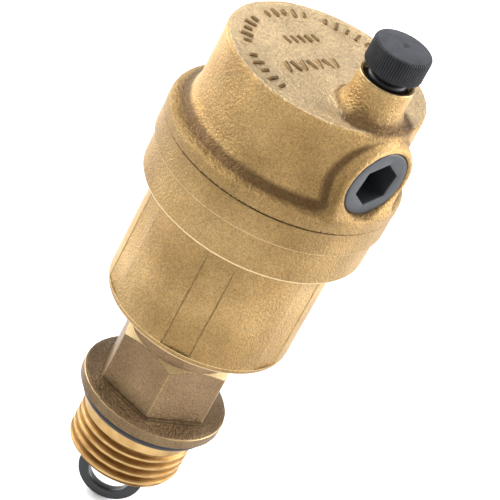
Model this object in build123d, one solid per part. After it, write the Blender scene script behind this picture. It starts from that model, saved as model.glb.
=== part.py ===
from build123d import *
import os
from math import asin, cos, degrees, pi, radians, sin

os.makedirs("parts", exist_ok=True)

# Automatic air vent, G 1/2 male. Millimetres, +Z up. The origin is on the main axis in
# the plane of the collar's underside, and the side boss points along +X.

# --- driving dimensions -------------------------------------------------------------

# Pipe nipple: G 1/2 parallel pipe thread (ISO 228)
NIPPLE_R = 10.478
NIPPLE_CREST_R = 10.32
NIPPLE_ROOT_R = 9.316
NIPPLE_PITCH = 1.814
NIPPLE_END_Z = -13.0
LAND_Z = (-4.3, -2.1)
THREAD_START_Z = -14.14
NIPPLE_CHAMFER = 0.9
INLET_R = 6.6
SEAL_SEAT_R = 10.3
COLLAR_SEAL = 1.0

# Sealing collar and spanner hexagon
COLLAR_R = 13.25
COLLAR_RIM_Z = 2.1
COLLAR_TOP_Z = 2.9
HEX_AF = 19.0
HEX_TOP_Z = 14.0
HEX_CORNER_Z = 13.1
HEX_TURN = 11.5
NECK_R = 9.4

# Float housing (body)
BODY_Z = 20.2
BODY_R = 16.75
BODY_EDGE = 1.2
FACET_TURN = 5.8
FACET_ANGLE = 18.0
FACET_DEPTH = 0.12
FACET_Z = (21.7, 40.7)
BAND_Z = 43.4
BAND_R = 20.1
BAND_STEP_Z = 50.4
SEAM_Z = 54.9
RIM_R = 20.8
CHAMBER_R = 14.75
CHAMBER_Z = 23.5
MOUTH_R = 17.9
MOUTH_Z = 47.1

# Cover: flange, drum and screwed spigot
FLANGE_TOP_Z = 57.3
DRUM_R = 17.6
DRUM_TOP_Z = 72.6
DRUM_WALL = 2.3
CEILING_Z = 69.9
SPIGOT_R = 17.86
SPIGOT_Z = 47.5
SEAL_GROOVE_Z = (48.8, 50.4)
SEAL_GROOVE_DEPTH = 1.4
COVER_SEAL = 0.68

# Side boss with its plug, horizontal along +X
BOSS_Z = 63.9
BOSS_R = 7.4
BOSS_FACE_X = 19.4
BOSS_FOOT_HALF = 6.2
PLUG_R = 6.15
PLUG_FACE_X = 19.25
PLUG_INNER_X = 12.7
PLUG_PITCH = 1.5
PLUG_GROOVE_R = 4.87
PLUG_GROOVE = (0.7, 2.1)
PLUG_SEAL = 0.6
PLUG_KEY_AF = 7.0
PLUG_KEY_DEPTH = 4.7
PLUG_KEY_TURN = 51.6
SEAT_BLOCK_R = 6.6
SEAT_BLOCK_X = 3.4
AIR_CHAMBER_R = 5.0
AIR_CHAMBER_X = 7.4

# Outlet chimney and vent cap, vertical
CHIMNEY_X = 11.15
CHIMNEY_R = 4.85
CHIMNEY_FOOT_R = 5.45
CHIMNEY_TAPER_Z = 74.8
CHIMNEY_TOP_Z = 79.1
AIR_WAY_R = 1.8
SEAL_RECESS_R = 4.3
SEAL_RECESS_Z = 76.7
CAP_R = 5.0
CAP_Z = 80.8
CAP_TOP_Z = 85.3
CAP_RIBS = 80
CAP_NECK_R = 3.0
STEM_R = 2.95
STEM_Z = 73.2
STEM_PITCH = 1.0
CAP_SEAL_Z = 78.9
CAP_SEAL = 0.62
CAP_GROOVE_R = 2.1

# Float and lever
FLOAT_R = 13.8
FLOAT_Z = (24.7, 50.9)
FLOAT_WALL = 1.2
FLOAT_RISE = 3.5
NOZZLE_R = 2.2
SEAT_SEAL = 0.43
SEAT_TIP_X = 2.6
PIVOT_X = -1.4
PIVOT_Z = 59.4
PIVOT_R = 0.8
LEVER_ARM = 9.5
LINK_R = 0.7
LEVER_TILT = degrees(asin(FLOAT_RISE / LEVER_ARM))
ARM_HALF = (1.1, 2.1)
ORIFICE_R = 0.7
PAD_R = 1.6
PAD_X = (1.1, 2.57)

# Lever bracket, bent from sheet, and its two screws
SHEET = 0.8
EAR_HALF = (2.9, 3.7)
SCREW_R = 0.95
SCREW_LENGTH = 3.0

# Stirrup that opens the check valve below the vent
STIRRUP_R = 6.05
STIRRUP_CENTRE_Z = -17.85
STIRRUP_THICK = 2.0
STIRRUP_WIDTH = 1.9
STIRRUP_TURN = 36.2
SLEEVE_R = 5.2
SLEEVE_Z = (-10.5, -4.5)

RUN = 0.06      # radial running clearance
GAP = 0.02      # clearance between fixed pieces


# --- helpers ------------------------------------------------------------------------

def save(shape, node):
    export_step(shape, f"parts/{node}.step")


def cylinder_z(radius, z_low, z_high, x=0.0, y=0.0):
    return Pos(x, y, (z_low + z_high) / 2) * Cylinder(radius, z_high - z_low)


def cylinder_x(radius, x_low, x_high, y=0.0, z=0.0):
    return Pos((x_low + x_high) / 2, y, z) * Rot(0, 90, 0) * Cylinder(radius, x_high - x_low)


def cylinder_y(radius, half_length, x=0.0, z=0.0):
    return Pos(x, 0, z) * Rot(90, 0, 0) * Cylinder(radius, 2 * half_length)


def block(x, y, z):
    """A box from the low and high value on each axis."""
    centre = [(side[0] + side[1]) / 2 for side in (x, y, z)]
    return Pos(*centre) * Box(x[1] - x[0], y[1] - y[0], z[1] - z[0])


def turned(*segments):
    """A solid of revolution about Z from the edges of its half profile, drawn as (r, z)."""
    return revolve(Plane.XZ * make_face(Wire(segments)), Axis.Z)


def turned_polygon(*points):
    return revolve(Plane.XZ * make_face(Polyline(*points, close=True)), Axis.Z)


def quarter(start, end, centre):
    """Quarter-round of a profile from start to end about centre."""
    radius = max(abs(start[0] - centre[0]), abs(start[1] - centre[1]))
    reach = radius / 2 ** 0.5
    middle = tuple(c + reach * (1 if s + e > 2 * c else -1) for s, e, c in zip(start, end, centre))
    return ThreePointArc(start, middle, end)


def ring(major, minor, z):
    return Pos(0, 0, z) * Torus(major, minor)


def groove_helix(radius, root_radius, pitch, z_low, z_high):
    """The V-shaped cutter of a right-hand screw thread about Z."""
    crest_half = 0.44 * pitch
    root_half = 0.08 * pitch
    over = 0.1
    path = Pos(0, 0, z_low) * Helix(pitch, z_high - z_low, radius)
    profile = make_face(Polyline(
        (radius + over, 0, z_low - crest_half), (root_radius, 0, z_low - root_half),
        (root_radius, 0, z_low + root_half), (radius + over, 0, z_low + crest_half), close=True))
    return sweep(profile, path=path, is_frenet=True)


def along_x(shape, x, z):
    """Lay a solid made about Z down along +X, its z = 0 going to the given x."""
    return Pos(x, 0, z) * Rot(0, 90, 0) * shape


def open_lever(shape):
    """Turn a lever piece, drawn with the valve closed, to its open rest pose."""
    return Pos(PIVOT_X, 0, PIVOT_Z) * Rot(0, -LEVER_TILT, 0) * Pos(-PIVOT_X, 0, -PIVOT_Z) * shape


# --- body ---------------------------------------------------------------------------

def body_shell():
    neck_fillet = 0.8
    band_fillet = 1.6
    band_round = 0.9
    low_bevel = 0.15
    rim_round = 0.35
    step_bevel = 0.2
    seam_bevel = 0.12
    underside_r = BODY_R - BODY_EDGE
    floor_r = INLET_R + 2.0
    floor_z = CHAMBER_Z - 0.6
    funnel_z = CHAMBER_Z - 2.6
    outline = [
        Line((INLET_R, NIPPLE_END_Z), (NIPPLE_CREST_R - NIPPLE_CHAMFER, NIPPLE_END_Z)),
        Line((NIPPLE_CREST_R - NIPPLE_CHAMFER, NIPPLE_END_Z),
             (NIPPLE_CREST_R, NIPPLE_END_Z + NIPPLE_CHAMFER)),
        Line((NIPPLE_CREST_R, NIPPLE_END_Z + NIPPLE_CHAMFER), (NIPPLE_CREST_R, LAND_Z[0])),
        Line((NIPPLE_CREST_R, LAND_Z[0]), (NIPPLE_R, LAND_Z[0])),
        Line((NIPPLE_R, LAND_Z[0]), (NIPPLE_R, LAND_Z[1])),
        Line((NIPPLE_R, LAND_Z[1]), (SEAL_SEAT_R, LAND_Z[1])),
        Line((SEAL_SEAT_R, LAND_Z[1]), (SEAL_SEAT_R, 0)),
        Line((SEAL_SEAT_R, 0), (COLLAR_R - low_bevel, 0)),
        Line((COLLAR_R - low_bevel, 0), (COLLAR_R, low_bevel)),
        Line((COLLAR_R, low_bevel), (COLLAR_R, COLLAR_RIM_Z - rim_round)),
        quarter((COLLAR_R, COLLAR_RIM_Z - rim_round), (COLLAR_R - rim_round, COLLAR_RIM_Z),
                (COLLAR_R - rim_round, COLLAR_RIM_Z - rim_round)),
        Line((COLLAR_R - rim_round, COLLAR_RIM_Z), (NECK_R, COLLAR_TOP_Z)),
        Line((NECK_R, COLLAR_TOP_Z), (NECK_R, BODY_Z - neck_fillet)),
        Line((NECK_R, BODY_Z - neck_fillet), (NECK_R + neck_fillet, BODY_Z)),
        Line((NECK_R + neck_fillet, BODY_Z), (underside_r, BODY_Z)),
        quarter((underside_r, BODY_Z), (BODY_R, BODY_Z + BODY_EDGE),
                (underside_r, BODY_Z + BODY_EDGE)),
        Line((BODY_R, BODY_Z + BODY_EDGE), (BODY_R, BAND_Z - band_fillet)),
        quarter((BODY_R, BAND_Z - band_fillet), (BODY_R + band_fillet, BAND_Z),
                (BODY_R + band_fillet, BAND_Z - band_fillet)),
        Line((BODY_R + band_fillet, BAND_Z), (BAND_R - band_round, BAND_Z)),
        quarter((BAND_R - band_round, BAND_Z), (BAND_R, BAND_Z + band_round),
                (BAND_R - band_round, BAND_Z + band_round)),
        Line((BAND_R, BAND_Z + band_round), (BAND_R, BAND_STEP_Z)),
        Line((BAND_R, BAND_STEP_Z), (RIM_R - step_bevel, BAND_STEP_Z)),
        Line((RIM_R - step_bevel, BAND_STEP_Z), (RIM_R, BAND_STEP_Z + step_bevel)),
        Line((RIM_R, BAND_STEP_Z + step_bevel), (RIM_R, SEAM_Z - seam_bevel)),
        Line((RIM_R, SEAM_Z - seam_bevel), (RIM_R - seam_bevel, SEAM_Z)),
        Line((RIM_R - seam_bevel, SEAM_Z), (MOUTH_R, SEAM_Z)),
        Line((MOUTH_R, SEAM_Z), (MOUTH_R, MOUTH_Z)),
        Line((MOUTH_R, MOUTH_Z), (CHAMBER_R, MOUTH_Z)),
        Line((CHAMBER_R, MOUTH_Z), (CHAMBER_R, CHAMBER_Z)),
        Line((CHAMBER_R, CHAMBER_Z), (floor_r, floor_z)),
        Line((floor_r, floor_z), (INLET_R, funnel_z)),
        Line((INLET_R, funnel_z), (INLET_R, NIPPLE_END_Z)),
    ]
    return turned(*outline)


def spanner_hexagon():
    """Cast hexagon with a turned chamfer, as a ring round the neck."""
    corner_r = HEX_AF / 3 ** 0.5
    flat_r = HEX_AF / 2
    slope = (HEX_TOP_Z - HEX_CORNER_Z) / (corner_r - flat_r)
    outer_r = corner_r + 1.0
    outer_z = HEX_CORNER_Z - slope * (outer_r - corner_r)
    prism = extrude(RegularPolygon(corner_r, 6, rotation=HEX_TURN), HEX_TOP_Z - COLLAR_RIM_Z)
    chamfered = turned_polygon((0, COLLAR_RIM_Z), (outer_r, COLLAR_RIM_Z), (outer_r, outer_z),
                               (flat_r, HEX_TOP_Z), (0, HEX_TOP_Z))
    return (Pos(0, 0, COLLAR_RIM_Z) * prism & chamfered) - cylinder_z(NECK_R - 1, 0, BODY_Z)


def body_facets():
    """Six shallow strips, evenly spaced round the float housing."""
    half_width = BODY_R * sin(radians(FACET_ANGLE / 2))
    flat_r = BODY_R * cos(radians(FACET_ANGLE / 2)) - FACET_DEPTH
    strip = block((flat_r, BODY_R + 1), (-half_width, half_width), FACET_Z)
    return [Rot(0, 0, FACET_TURN + 60 * k) * strip for k in range(6)]


thread = groove_helix(NIPPLE_R, NIPPLE_ROOT_R, NIPPLE_PITCH, THREAD_START_Z,
                      LAND_Z[0] - NIPPLE_PITCH / 2)
body = body_shell() + spanner_hexagon() - body_facets() - thread
save(body, "body")


# --- cover --------------------------------------------------------------------------

def cover_shell():
    """Flange, drum and spigot, turned about the main axis."""
    edge = 1.0
    sweep_r = 1.9
    top_edge = 0.6
    seam_bevel = 0.12
    rim = RIM_R + 0.05
    outline = [
        Line((SPIGOT_R, SPIGOT_Z), (SPIGOT_R, SEAM_Z)),
        Line((SPIGOT_R, SEAM_Z), (rim - seam_bevel, SEAM_Z)),
        Line((rim - seam_bevel, SEAM_Z), (rim, SEAM_Z + seam_bevel)),
        Line((rim, SEAM_Z + seam_bevel), (rim, FLANGE_TOP_Z - edge)),
        quarter((rim, FLANGE_TOP_Z - edge), (rim - edge, FLANGE_TOP_Z),
                (rim - edge, FLANGE_TOP_Z - edge)),
        Line((rim - edge, FLANGE_TOP_Z), (DRUM_R + sweep_r, FLANGE_TOP_Z)),
        quarter((DRUM_R + sweep_r, FLANGE_TOP_Z), (DRUM_R, FLANGE_TOP_Z + sweep_r),
                (DRUM_R + sweep_r, FLANGE_TOP_Z + sweep_r)),
        Line((DRUM_R, FLANGE_TOP_Z + sweep_r), (DRUM_R, DRUM_TOP_Z - top_edge)),
        quarter((DRUM_R, DRUM_TOP_Z - top_edge), (DRUM_R - top_edge, DRUM_TOP_Z),
                (DRUM_R - top_edge, DRUM_TOP_Z - top_edge)),
        Line((DRUM_R - top_edge, DRUM_TOP_Z), (0, DRUM_TOP_Z)),
        Line((0, DRUM_TOP_Z), (0, CEILING_Z)),
        Line((0, CEILING_Z), (DRUM_R - DRUM_WALL, CEILING_Z)),
        Line((DRUM_R - DRUM_WALL, CEILING_Z), (DRUM_R - DRUM_WALL, SPIGOT_Z)),
        Line((DRUM_R - DRUM_WALL, SPIGOT_Z), (SPIGOT_R, SPIGOT_Z)),
    ]
    groove = cylinder_z(SPIGOT_R + 1, *SEAL_GROOVE_Z)
    groove -= cylinder_z(SPIGOT_R - SEAL_GROOVE_DEPTH, *SEAL_GROOVE_Z)
    return turned(*outline) - groove


def side_boss():
    """Arched boss that carries the plug, with sides running down to the flange."""
    foot_z = SEAM_Z + 1.0
    arch = Plane.YZ * (
        Pos(0, BOSS_Z) * Circle(BOSS_R)
        + make_face(Polyline((-BOSS_FOOT_HALF, foot_z), (BOSS_FOOT_HALF, foot_z),
                             (BOSS_R, BOSS_Z), (-BOSS_R, BOSS_Z), close=True)))
    root_x = DRUM_R - DRUM_WALL - 1
    face_round = 0.7
    boss = Pos(root_x, 0, 0) * extrude(arch, BOSS_FACE_X - root_x)
    return fillet(boss.faces().sort_by(Axis.X)[-1].edges(), face_round)


def outlet_chimney():
    rim_bevel = 0.2
    return turned_polygon((0, CEILING_Z), (CHIMNEY_FOOT_R, CEILING_Z), (CHIMNEY_FOOT_R, DRUM_TOP_Z),
                          (CHIMNEY_R, CHIMNEY_TAPER_Z), (CHIMNEY_R, CHIMNEY_TOP_Z - rim_bevel),
                          (CHIMNEY_R - rim_bevel, CHIMNEY_TOP_Z), (0, CHIMNEY_TOP_Z))


def cast_mark(length, width, angle, radius=0.0, x=0.0, y=0.0):
    """A raised bar on the top face, turned to the given angle."""
    height = 0.3
    sunk = 0.2
    bar = Pos(radius, 0, 0) * Box(length, width, height + sunk)
    return Pos(x, y, DRUM_TOP_Z + (height - sunk) / 2) * Rot(0, 0, angle) * bar


def cast_marks():
    """Plain index marks: a ring of bars, and two rows of bars in the middle."""
    marks = []
    ring_r = 14.2
    ring_first = 62
    ring_step = 8
    ring_count = 30
    for k in range(ring_count):
        if k % 6 != 5:
            length = 2.2 if k % 2 else 1.5
            marks.append(cast_mark(length, 0.65, ring_first + ring_step * k, radius=ring_r))
    lean = 14
    for k in range(7):
        marks.append(cast_mark(2.6, 0.6, lean if k % 2 else -lean, x=-0.6, y=1.8 * k - 8.6))
    for k in range(5):
        marks.append(cast_mark(1.9, 0.5, lean, x=-7.2, y=1.6 * k - 3.4))
    return marks


def screw_places():
    """Where the two bracket screws enter the seat block, as (y, z)."""
    spacing = 9.4
    above_nozzle = 1.0
    return [(side * spacing / 2, BOSS_Z + above_nozzle) for side in (-1, 1)]


def cover_bores():
    stem_bore_z = STEM_Z - 2.0
    bores = [
        cylinder_x(PLUG_R + RUN, PLUG_INNER_X - 0.1, BOSS_FACE_X + 1, z=BOSS_Z),
        cylinder_x(AIR_CHAMBER_R, AIR_CHAMBER_X, PLUG_INNER_X, z=BOSS_Z),
        cylinder_x(NOZZLE_R + GAP, 0, AIR_CHAMBER_X + 1, z=BOSS_Z),
        cylinder_z(AIR_WAY_R, BOSS_Z, stem_bore_z, x=CHIMNEY_X),
        cylinder_z(STEM_R + RUN, stem_bore_z, CHIMNEY_TOP_Z + 1, x=CHIMNEY_X),
        cylinder_z(SEAL_RECESS_R, SEAL_RECESS_Z, CHIMNEY_TOP_Z + 1, x=CHIMNEY_X),
    ]
    for y, z in screw_places():
        bores.append(cylinder_x(SCREW_R + GAP, 0, SEAT_BLOCK_X + SCREW_LENGTH + 0.2, y=y, z=z))
    return bores


seat_block = cylinder_x(SEAT_BLOCK_R, SEAT_BLOCK_X, DRUM_R - 1, z=BOSS_Z)
seat_block += block((SEAT_BLOCK_X, DRUM_R - 1), (-SEAT_BLOCK_R, SEAT_BLOCK_R),
                    (BOSS_Z, CEILING_Z + 1))
cover = cover_shell() + seat_block + side_boss() + Pos(CHIMNEY_X, 0, 0) * outlet_chimney()
cover = cover + cast_marks() - cover_bores()
save(cover, "cover")


# --- seals --------------------------------------------------------------------------

cover_seal_r = SPIGOT_R - SEAL_GROOVE_DEPTH + COVER_SEAL + GAP
save(ring(cover_seal_r, COVER_SEAL, sum(SEAL_GROOVE_Z) / 2), "cover_o_ring")
save(ring(SEAL_SEAT_R + COLLAR_SEAL + GAP, COLLAR_SEAL, -COLLAR_SEAL - GAP), "collar_o_ring")


# --- stirrup that opens the check valve ---------------------------------------------

def stirrup():
    """A sleeve pressed into the inlet, and a U-shaped loop that stands out below it."""
    inner_r = STIRRUP_R - STIRRUP_THICK
    half_width = STIRRUP_WIDTH / 2
    leg_top_z = SLEEVE_Z[0] + 1
    sleeve = cylinder_z(INLET_R - GAP, *SLEEVE_Z) - cylinder_z(SLEEVE_R, *SLEEVE_Z)
    bend = cylinder_y(STIRRUP_R, half_width) - cylinder_y(inner_r, STIRRUP_WIDTH)
    reach = (-STIRRUP_R - 1, STIRRUP_R + 1)
    loop = Pos(0, 0, STIRRUP_CENTRE_Z) * (bend & block(reach, reach, (reach[0], 0)))
    for side in (-1, 1):
        x = sorted((side * inner_r, side * STIRRUP_R))
        loop += block(x, (-half_width, half_width), (STIRRUP_CENTRE_Z, leg_top_z))
    return Rot(0, 0, STIRRUP_TURN) * (sleeve + loop)


save(stirrup(), "check_valve_stirrup")


# --- nozzle that the lever closes ---------------------------------------------------

def nozzle():
    flange_x = AIR_CHAMBER_X + 0.9
    flange_r = 3.8
    flange_thick = 1.1
    tip_length = 0.7
    slot_half = 0.45
    slot_depth = 0.5
    tip = turned_polygon((0, 0), (1.3, 0), (1.9, tip_length), (0, tip_length))
    shank = cylinder_x(NOZZLE_R, SEAT_TIP_X + tip_length - 0.1, flange_x, z=BOSS_Z)
    flange = cylinder_x(flange_r, flange_x, flange_x + flange_thick, z=BOSS_Z)
    slot = block((flange_x + flange_thick - slot_depth, flange_x + flange_thick + 1),
                 (-flange_r - 1, flange_r + 1), (BOSS_Z - slot_half, BOSS_Z + slot_half))
    orifice = cylinder_x(ORIFICE_R, 0, PLUG_INNER_X, z=BOSS_Z)
    return shank + along_x(tip, SEAT_TIP_X, BOSS_Z) + flange - orifice - slot


save(nozzle(), "valve_seat")
seat_seal = ring(NOZZLE_R + SEAT_SEAL + 2 * GAP, SEAT_SEAL, SEAT_SEAL + GAP)
save(along_x(seat_seal, AIR_CHAMBER_X, BOSS_Z), "valve_seat_o_ring")


# --- bracket, its screws and the lever pin ------------------------------------------

def bracket():
    """Bent sheet bracket: a forked plate on the seat block and two ears for the pin."""
    plate_x = (SEAT_BLOCK_X - SHEET, SEAT_BLOCK_X)
    half_width = 5.9
    round_r = 6.4
    fork_half = EAR_HALF[0]
    plate = block(plate_x, (-half_width, half_width), (BOSS_Z - 6.0, BOSS_Z + 2.9))
    plate -= block(plate_x, (-fork_half, fork_half), (BOSS_Z - fork_half, BOSS_Z + 3.0))
    plate = plate & cylinder_x(round_r, *plate_x, z=BOSS_Z)
    ear_r = 1.8
    ears = []
    for side in (-1, 1):
        y = sorted((side * EAR_HALF[0], side * EAR_HALF[1]))
        ears.append(block((PIVOT_X, SEAT_BLOCK_X - 0.1), y, (PIVOT_Z - ear_r, PIVOT_Z + ear_r)))
        eye = cylinder_y(ear_r, SHEET / 2, PIVOT_X, PIVOT_Z)
        ears.append(Pos(0, side * sum(EAR_HALF) / 2, 0) * eye)
    hole_r = SCREW_R + 0.1
    holes = [cylinder_x(hole_r, 0, SEAT_BLOCK_X + 1, y=y, z=z) for y, z in screw_places()]
    return plate + ears - holes - cylinder_y(PIVOT_R + GAP, half_width, PIVOT_X, PIVOT_Z)


def bracket_screw(y, z):
    head_x = SEAT_BLOCK_X - SHEET
    head_r = 1.7
    head_thick = 1.1
    slot_depth = 0.5
    slot_half = 0.2
    screw = cylinder_x(SCREW_R, head_x - 0.1, SEAT_BLOCK_X + SCREW_LENGTH, y=y, z=z)
    screw += cylinder_x(head_r, head_x - head_thick, head_x, y=y, z=z)
    slot = block((head_x - head_thick - 1, head_x - head_thick + slot_depth),
                 (y - head_r - 1, y + head_r + 1), (z - slot_half, z + slot_half))
    return screw - slot


save(bracket(), "lever_bracket")
save(Compound(children=[bracket_screw(y, z) for y, z in screw_places()]), "bracket_screws")
save(cylinder_y(PIVOT_R, EAR_HALF[1] + 0.5, PIVOT_X, PIVOT_Z), "lever_pivot_pin")


# --- valve lever and the shutter it carries -----------------------------------------

UPRIGHT_HALF = 0.6
STEM_HOLE_R = 0.7
CUP_X = (0.5, 2.1)


def lever():
    """Bell crank: a forked arm to the float and an upright that carries the shutter."""
    link_x = PIVOT_X - LEVER_ARM
    upright_x = (PIVOT_X - UPRIGHT_HALF, PIVOT_X + UPRIGHT_HALF)
    half_width = ARM_HALF[1]
    arm_z = (PIVOT_Z - 0.9, PIVOT_Z + 0.9)
    hub_half = EAR_HALF[0] - 0.2
    bridge_x = (PIVOT_X - 5.0, PIVOT_X - 3.6)
    piece = cylinder_y(1.7, hub_half, PIVOT_X, PIVOT_Z)
    piece += block(upright_x, (-half_width, half_width), (PIVOT_Z, BOSS_Z))
    piece += cylinder_x(half_width, *upright_x, z=BOSS_Z)
    for side in (-1, 1):
        y = sorted((side * ARM_HALF[0], side * ARM_HALF[1]))
        piece += block((link_x, PIVOT_X), y, arm_z)
        eye = cylinder_y(1.3, (ARM_HALF[1] - ARM_HALF[0]) / 2, link_x, PIVOT_Z)
        piece += Pos(0, side * sum(ARM_HALF) / 2, 0) * eye
    piece += block(bridge_x, (-half_width, half_width), arm_z)
    piece -= cylinder_y(PIVOT_R + RUN, hub_half + 1, PIVOT_X, PIVOT_Z)
    piece -= cylinder_y(LINK_R + GAP, half_width + 1, link_x, PIVOT_Z)
    return piece - cylinder_x(STEM_HOLE_R + GAP, upright_x[0] - 1, upright_x[1] + 1, z=BOSS_Z)


def shutter_holder():
    """Cup for the rubber pad, with a stem through the lever and a riveted end."""
    cup_floor = 0.6
    rivet_r = 1.2
    rivet_x = (PIVOT_X - 1.4, PIVOT_X - UPRIGHT_HALF - GAP)
    holder = cylinder_x(PAD_R + 0.5, *CUP_X, z=BOSS_Z)
    holder -= cylinder_x(PAD_R, CUP_X[0] + cup_floor, CUP_X[1] + 1, z=BOSS_Z)
    holder += cylinder_x(STEM_HOLE_R, rivet_x[0], CUP_X[0], z=BOSS_Z)
    return holder + cylinder_x(rivet_r, *rivet_x, z=BOSS_Z)


def shutter_spring():
    """Small compression coil between the lever and the pad holder."""
    wire = 0.16
    turns = 3
    coil_r = 1.25
    space = CUP_X[0] - PIVOT_X - UPRIGHT_HALF
    length = space - 2 * wire - 2 * GAP
    path = Helix(length / turns, length, coil_r)
    coil = sweep(Plane(path @ 0, z_dir=path % 0) * Circle(wire), path=path, is_frenet=True)
    return along_x(coil, PIVOT_X + UPRIGHT_HALF + wire + GAP, BOSS_Z)


pad = cylinder_x(PAD_R - GAP, *PAD_X, z=BOSS_Z)
link_pin = cylinder_y(LINK_R, ARM_HALF[1] + 0.2, PIVOT_X - LEVER_ARM, PIVOT_Z)
save(open_lever(lever()), "valve_lever")
save(open_lever(shutter_holder()), "shutter_holder")
save(open_lever(pad), "shutter_pad")
save(open_lever(shutter_spring()), "shutter_spring")
save(open_lever(link_pin), "link_pin")


# --- float --------------------------------------------------------------------------

def float_shell():
    low, high = FLOAT_Z
    shoulder = 2.0
    inner_shoulder = 1.2
    inner_r = FLOAT_R - FLOAT_WALL
    inner_high = high - FLOAT_WALL
    outer = turned_polygon((0, low), (FLOAT_R, low), (FLOAT_R, high - shoulder),
                           (FLOAT_R - shoulder, high), (0, high))
    inner = turned_polygon((0, low - 1), (inner_r, low - 1), (inner_r, inner_high - inner_shoulder),
                           (inner_r - inner_shoulder, inner_high), (0, inner_high))
    return outer - inner


def float_base():
    """Disc that closes the float, with three feet that hold it off the chamber floor."""
    low = FLOAT_Z[0]
    thick = 1.4
    base = cylinder_z(FLOAT_R - FLOAT_WALL - GAP, low, low + thick)
    foot_r = 0.9
    circle_r = 11.5
    foot_z = CHAMBER_Z + 0.1
    for k in range(3):
        angle = 2 * pi * k / 3
        base += cylinder_z(foot_r, foot_z, low, circle_r * cos(angle), circle_r * sin(angle))
    return base


def float_hook():
    """Upright plate on the float with a slot for the link pin."""
    slot_low_x = PIVOT_X - LEVER_ARM
    slot_high_x = PIVOT_X - LEVER_ARM * cos(radians(LEVER_TILT))
    slot_z = PIVOT_Z - FLOAT_RISE
    slot_r = LINK_R + 0.1
    half = 0.8
    margin = 1.6
    foot_half = 2.2
    foot_thick = 0.8
    top_z = FLOAT_Z[1]
    plate = block((slot_low_x - margin, slot_high_x + margin), (-half, half),
                  (top_z, slot_z + margin + 0.1))
    plate += block((slot_low_x - 0.4, slot_high_x + margin + 1), (-foot_half, foot_half),
                   (top_z, top_z + foot_thick))
    plate -= cylinder_y(slot_r, 2 * half, slot_low_x, slot_z)
    plate -= cylinder_y(slot_r, 2 * half, slot_high_x, slot_z)
    return plate - block((slot_low_x, slot_high_x), (-2 * half, 2 * half),
                         (slot_z - slot_r, slot_z + slot_r))


save(float_shell(), "float_shell")
save(float_base(), "float_base")
save(float_hook(), "float_hook")


# --- vent cap, drawn partly unscrewed -----------------------------------------------

def vent_cap():
    dome = 0.25
    edge = 0.35
    shoulder = 0.5
    flat_r = 1.2
    dimple_r = 0.6
    dimple = 0.15
    side_z = CAP_TOP_Z - dome - shoulder
    head = turned_polygon((0, CAP_Z), (CAP_R - edge, CAP_Z), (CAP_R, CAP_Z + edge),
                          (CAP_R, side_z), (CAP_R - shoulder, CAP_TOP_Z - dome),
                          (flat_r, CAP_TOP_Z), (dimple_r, CAP_TOP_Z - dimple),
                          (0, CAP_TOP_Z - dimple))
    flute_side = pi * CAP_R / CAP_RIBS
    flute = Box(flute_side, flute_side, side_z - CAP_Z + 2)
    flute = Pos(CAP_R, 0, (CAP_Z + side_z) / 2 - 1) * Rot(0, 0, 45) * flute
    flutes = [Rot(0, 0, 360 * k / CAP_RIBS) * flute for k in range(CAP_RIBS)]
    groove_half = CAP_SEAL + 0.1
    neck_z = CAP_SEAL_Z + groove_half
    seal_z = CAP_SEAL_Z - groove_half
    tip = 0.4
    stem = turned_polygon((0, STEM_Z), (STEM_R - tip, STEM_Z), (STEM_R, STEM_Z + tip),
                          (STEM_R, seal_z), (CAP_GROOVE_R, seal_z), (CAP_GROOVE_R, neck_z),
                          (CAP_NECK_R, neck_z), (CAP_NECK_R, CAP_Z), (0, CAP_Z))
    thread_depth = 0.55
    cut = groove_helix(STEM_R, STEM_R - thread_depth, STEM_PITCH, STEM_Z - STEM_PITCH,
                       seal_z - STEM_PITCH)
    return Pos(CHIMNEY_X, 0, 0) * (head - flutes + stem - cut)


save(vent_cap(), "vent_cap")
cap_seal = ring(CAP_GROOVE_R + CAP_SEAL + GAP, CAP_SEAL, CAP_SEAL_Z)
save(Pos(CHIMNEY_X, 0, 0) * cap_seal, "vent_cap_o_ring")


# --- side plug ----------------------------------------------------------------------

def side_plug():
    """Socket-headed plug, made about Z with its inner end at z = 0."""
    length = PLUG_FACE_X - PLUG_INNER_X
    low, high = PLUG_GROOVE
    edge = 0.3
    plug = turned_polygon((0, 0), (PLUG_R - edge, 0), (PLUG_R, edge), (PLUG_R, low),
                          (PLUG_GROOVE_R, low), (PLUG_GROOVE_R, high), (PLUG_R, high),
                          (PLUG_R, length - edge), (PLUG_R - edge, length), (0, length))
    key = RegularPolygon(PLUG_KEY_AF / 3 ** 0.5, 6, rotation=PLUG_KEY_TURN)
    plug -= Pos(0, 0, length - PLUG_KEY_DEPTH) * extrude(key, PLUG_KEY_DEPTH + 1)
    thread_depth = 0.8
    thread_space = 1.0
    cut = groove_helix(PLUG_R, PLUG_R - thread_depth, PLUG_PITCH, high + thread_space,
                       length - thread_space)
    return along_x(plug - cut, PLUG_INNER_X, BOSS_Z)


save(side_plug(), "side_plug")
plug_seal = ring(PLUG_GROOVE_R + PLUG_SEAL + GAP, PLUG_SEAL, sum(PLUG_GROOVE) / 2)
save(along_x(plug_seal, PLUG_INNER_X, BOSS_Z), "side_plug_o_ring")
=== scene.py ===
import math

import bmesh
import bpy
import numpy as np
from mathutils import Matrix, Vector, noise


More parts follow.
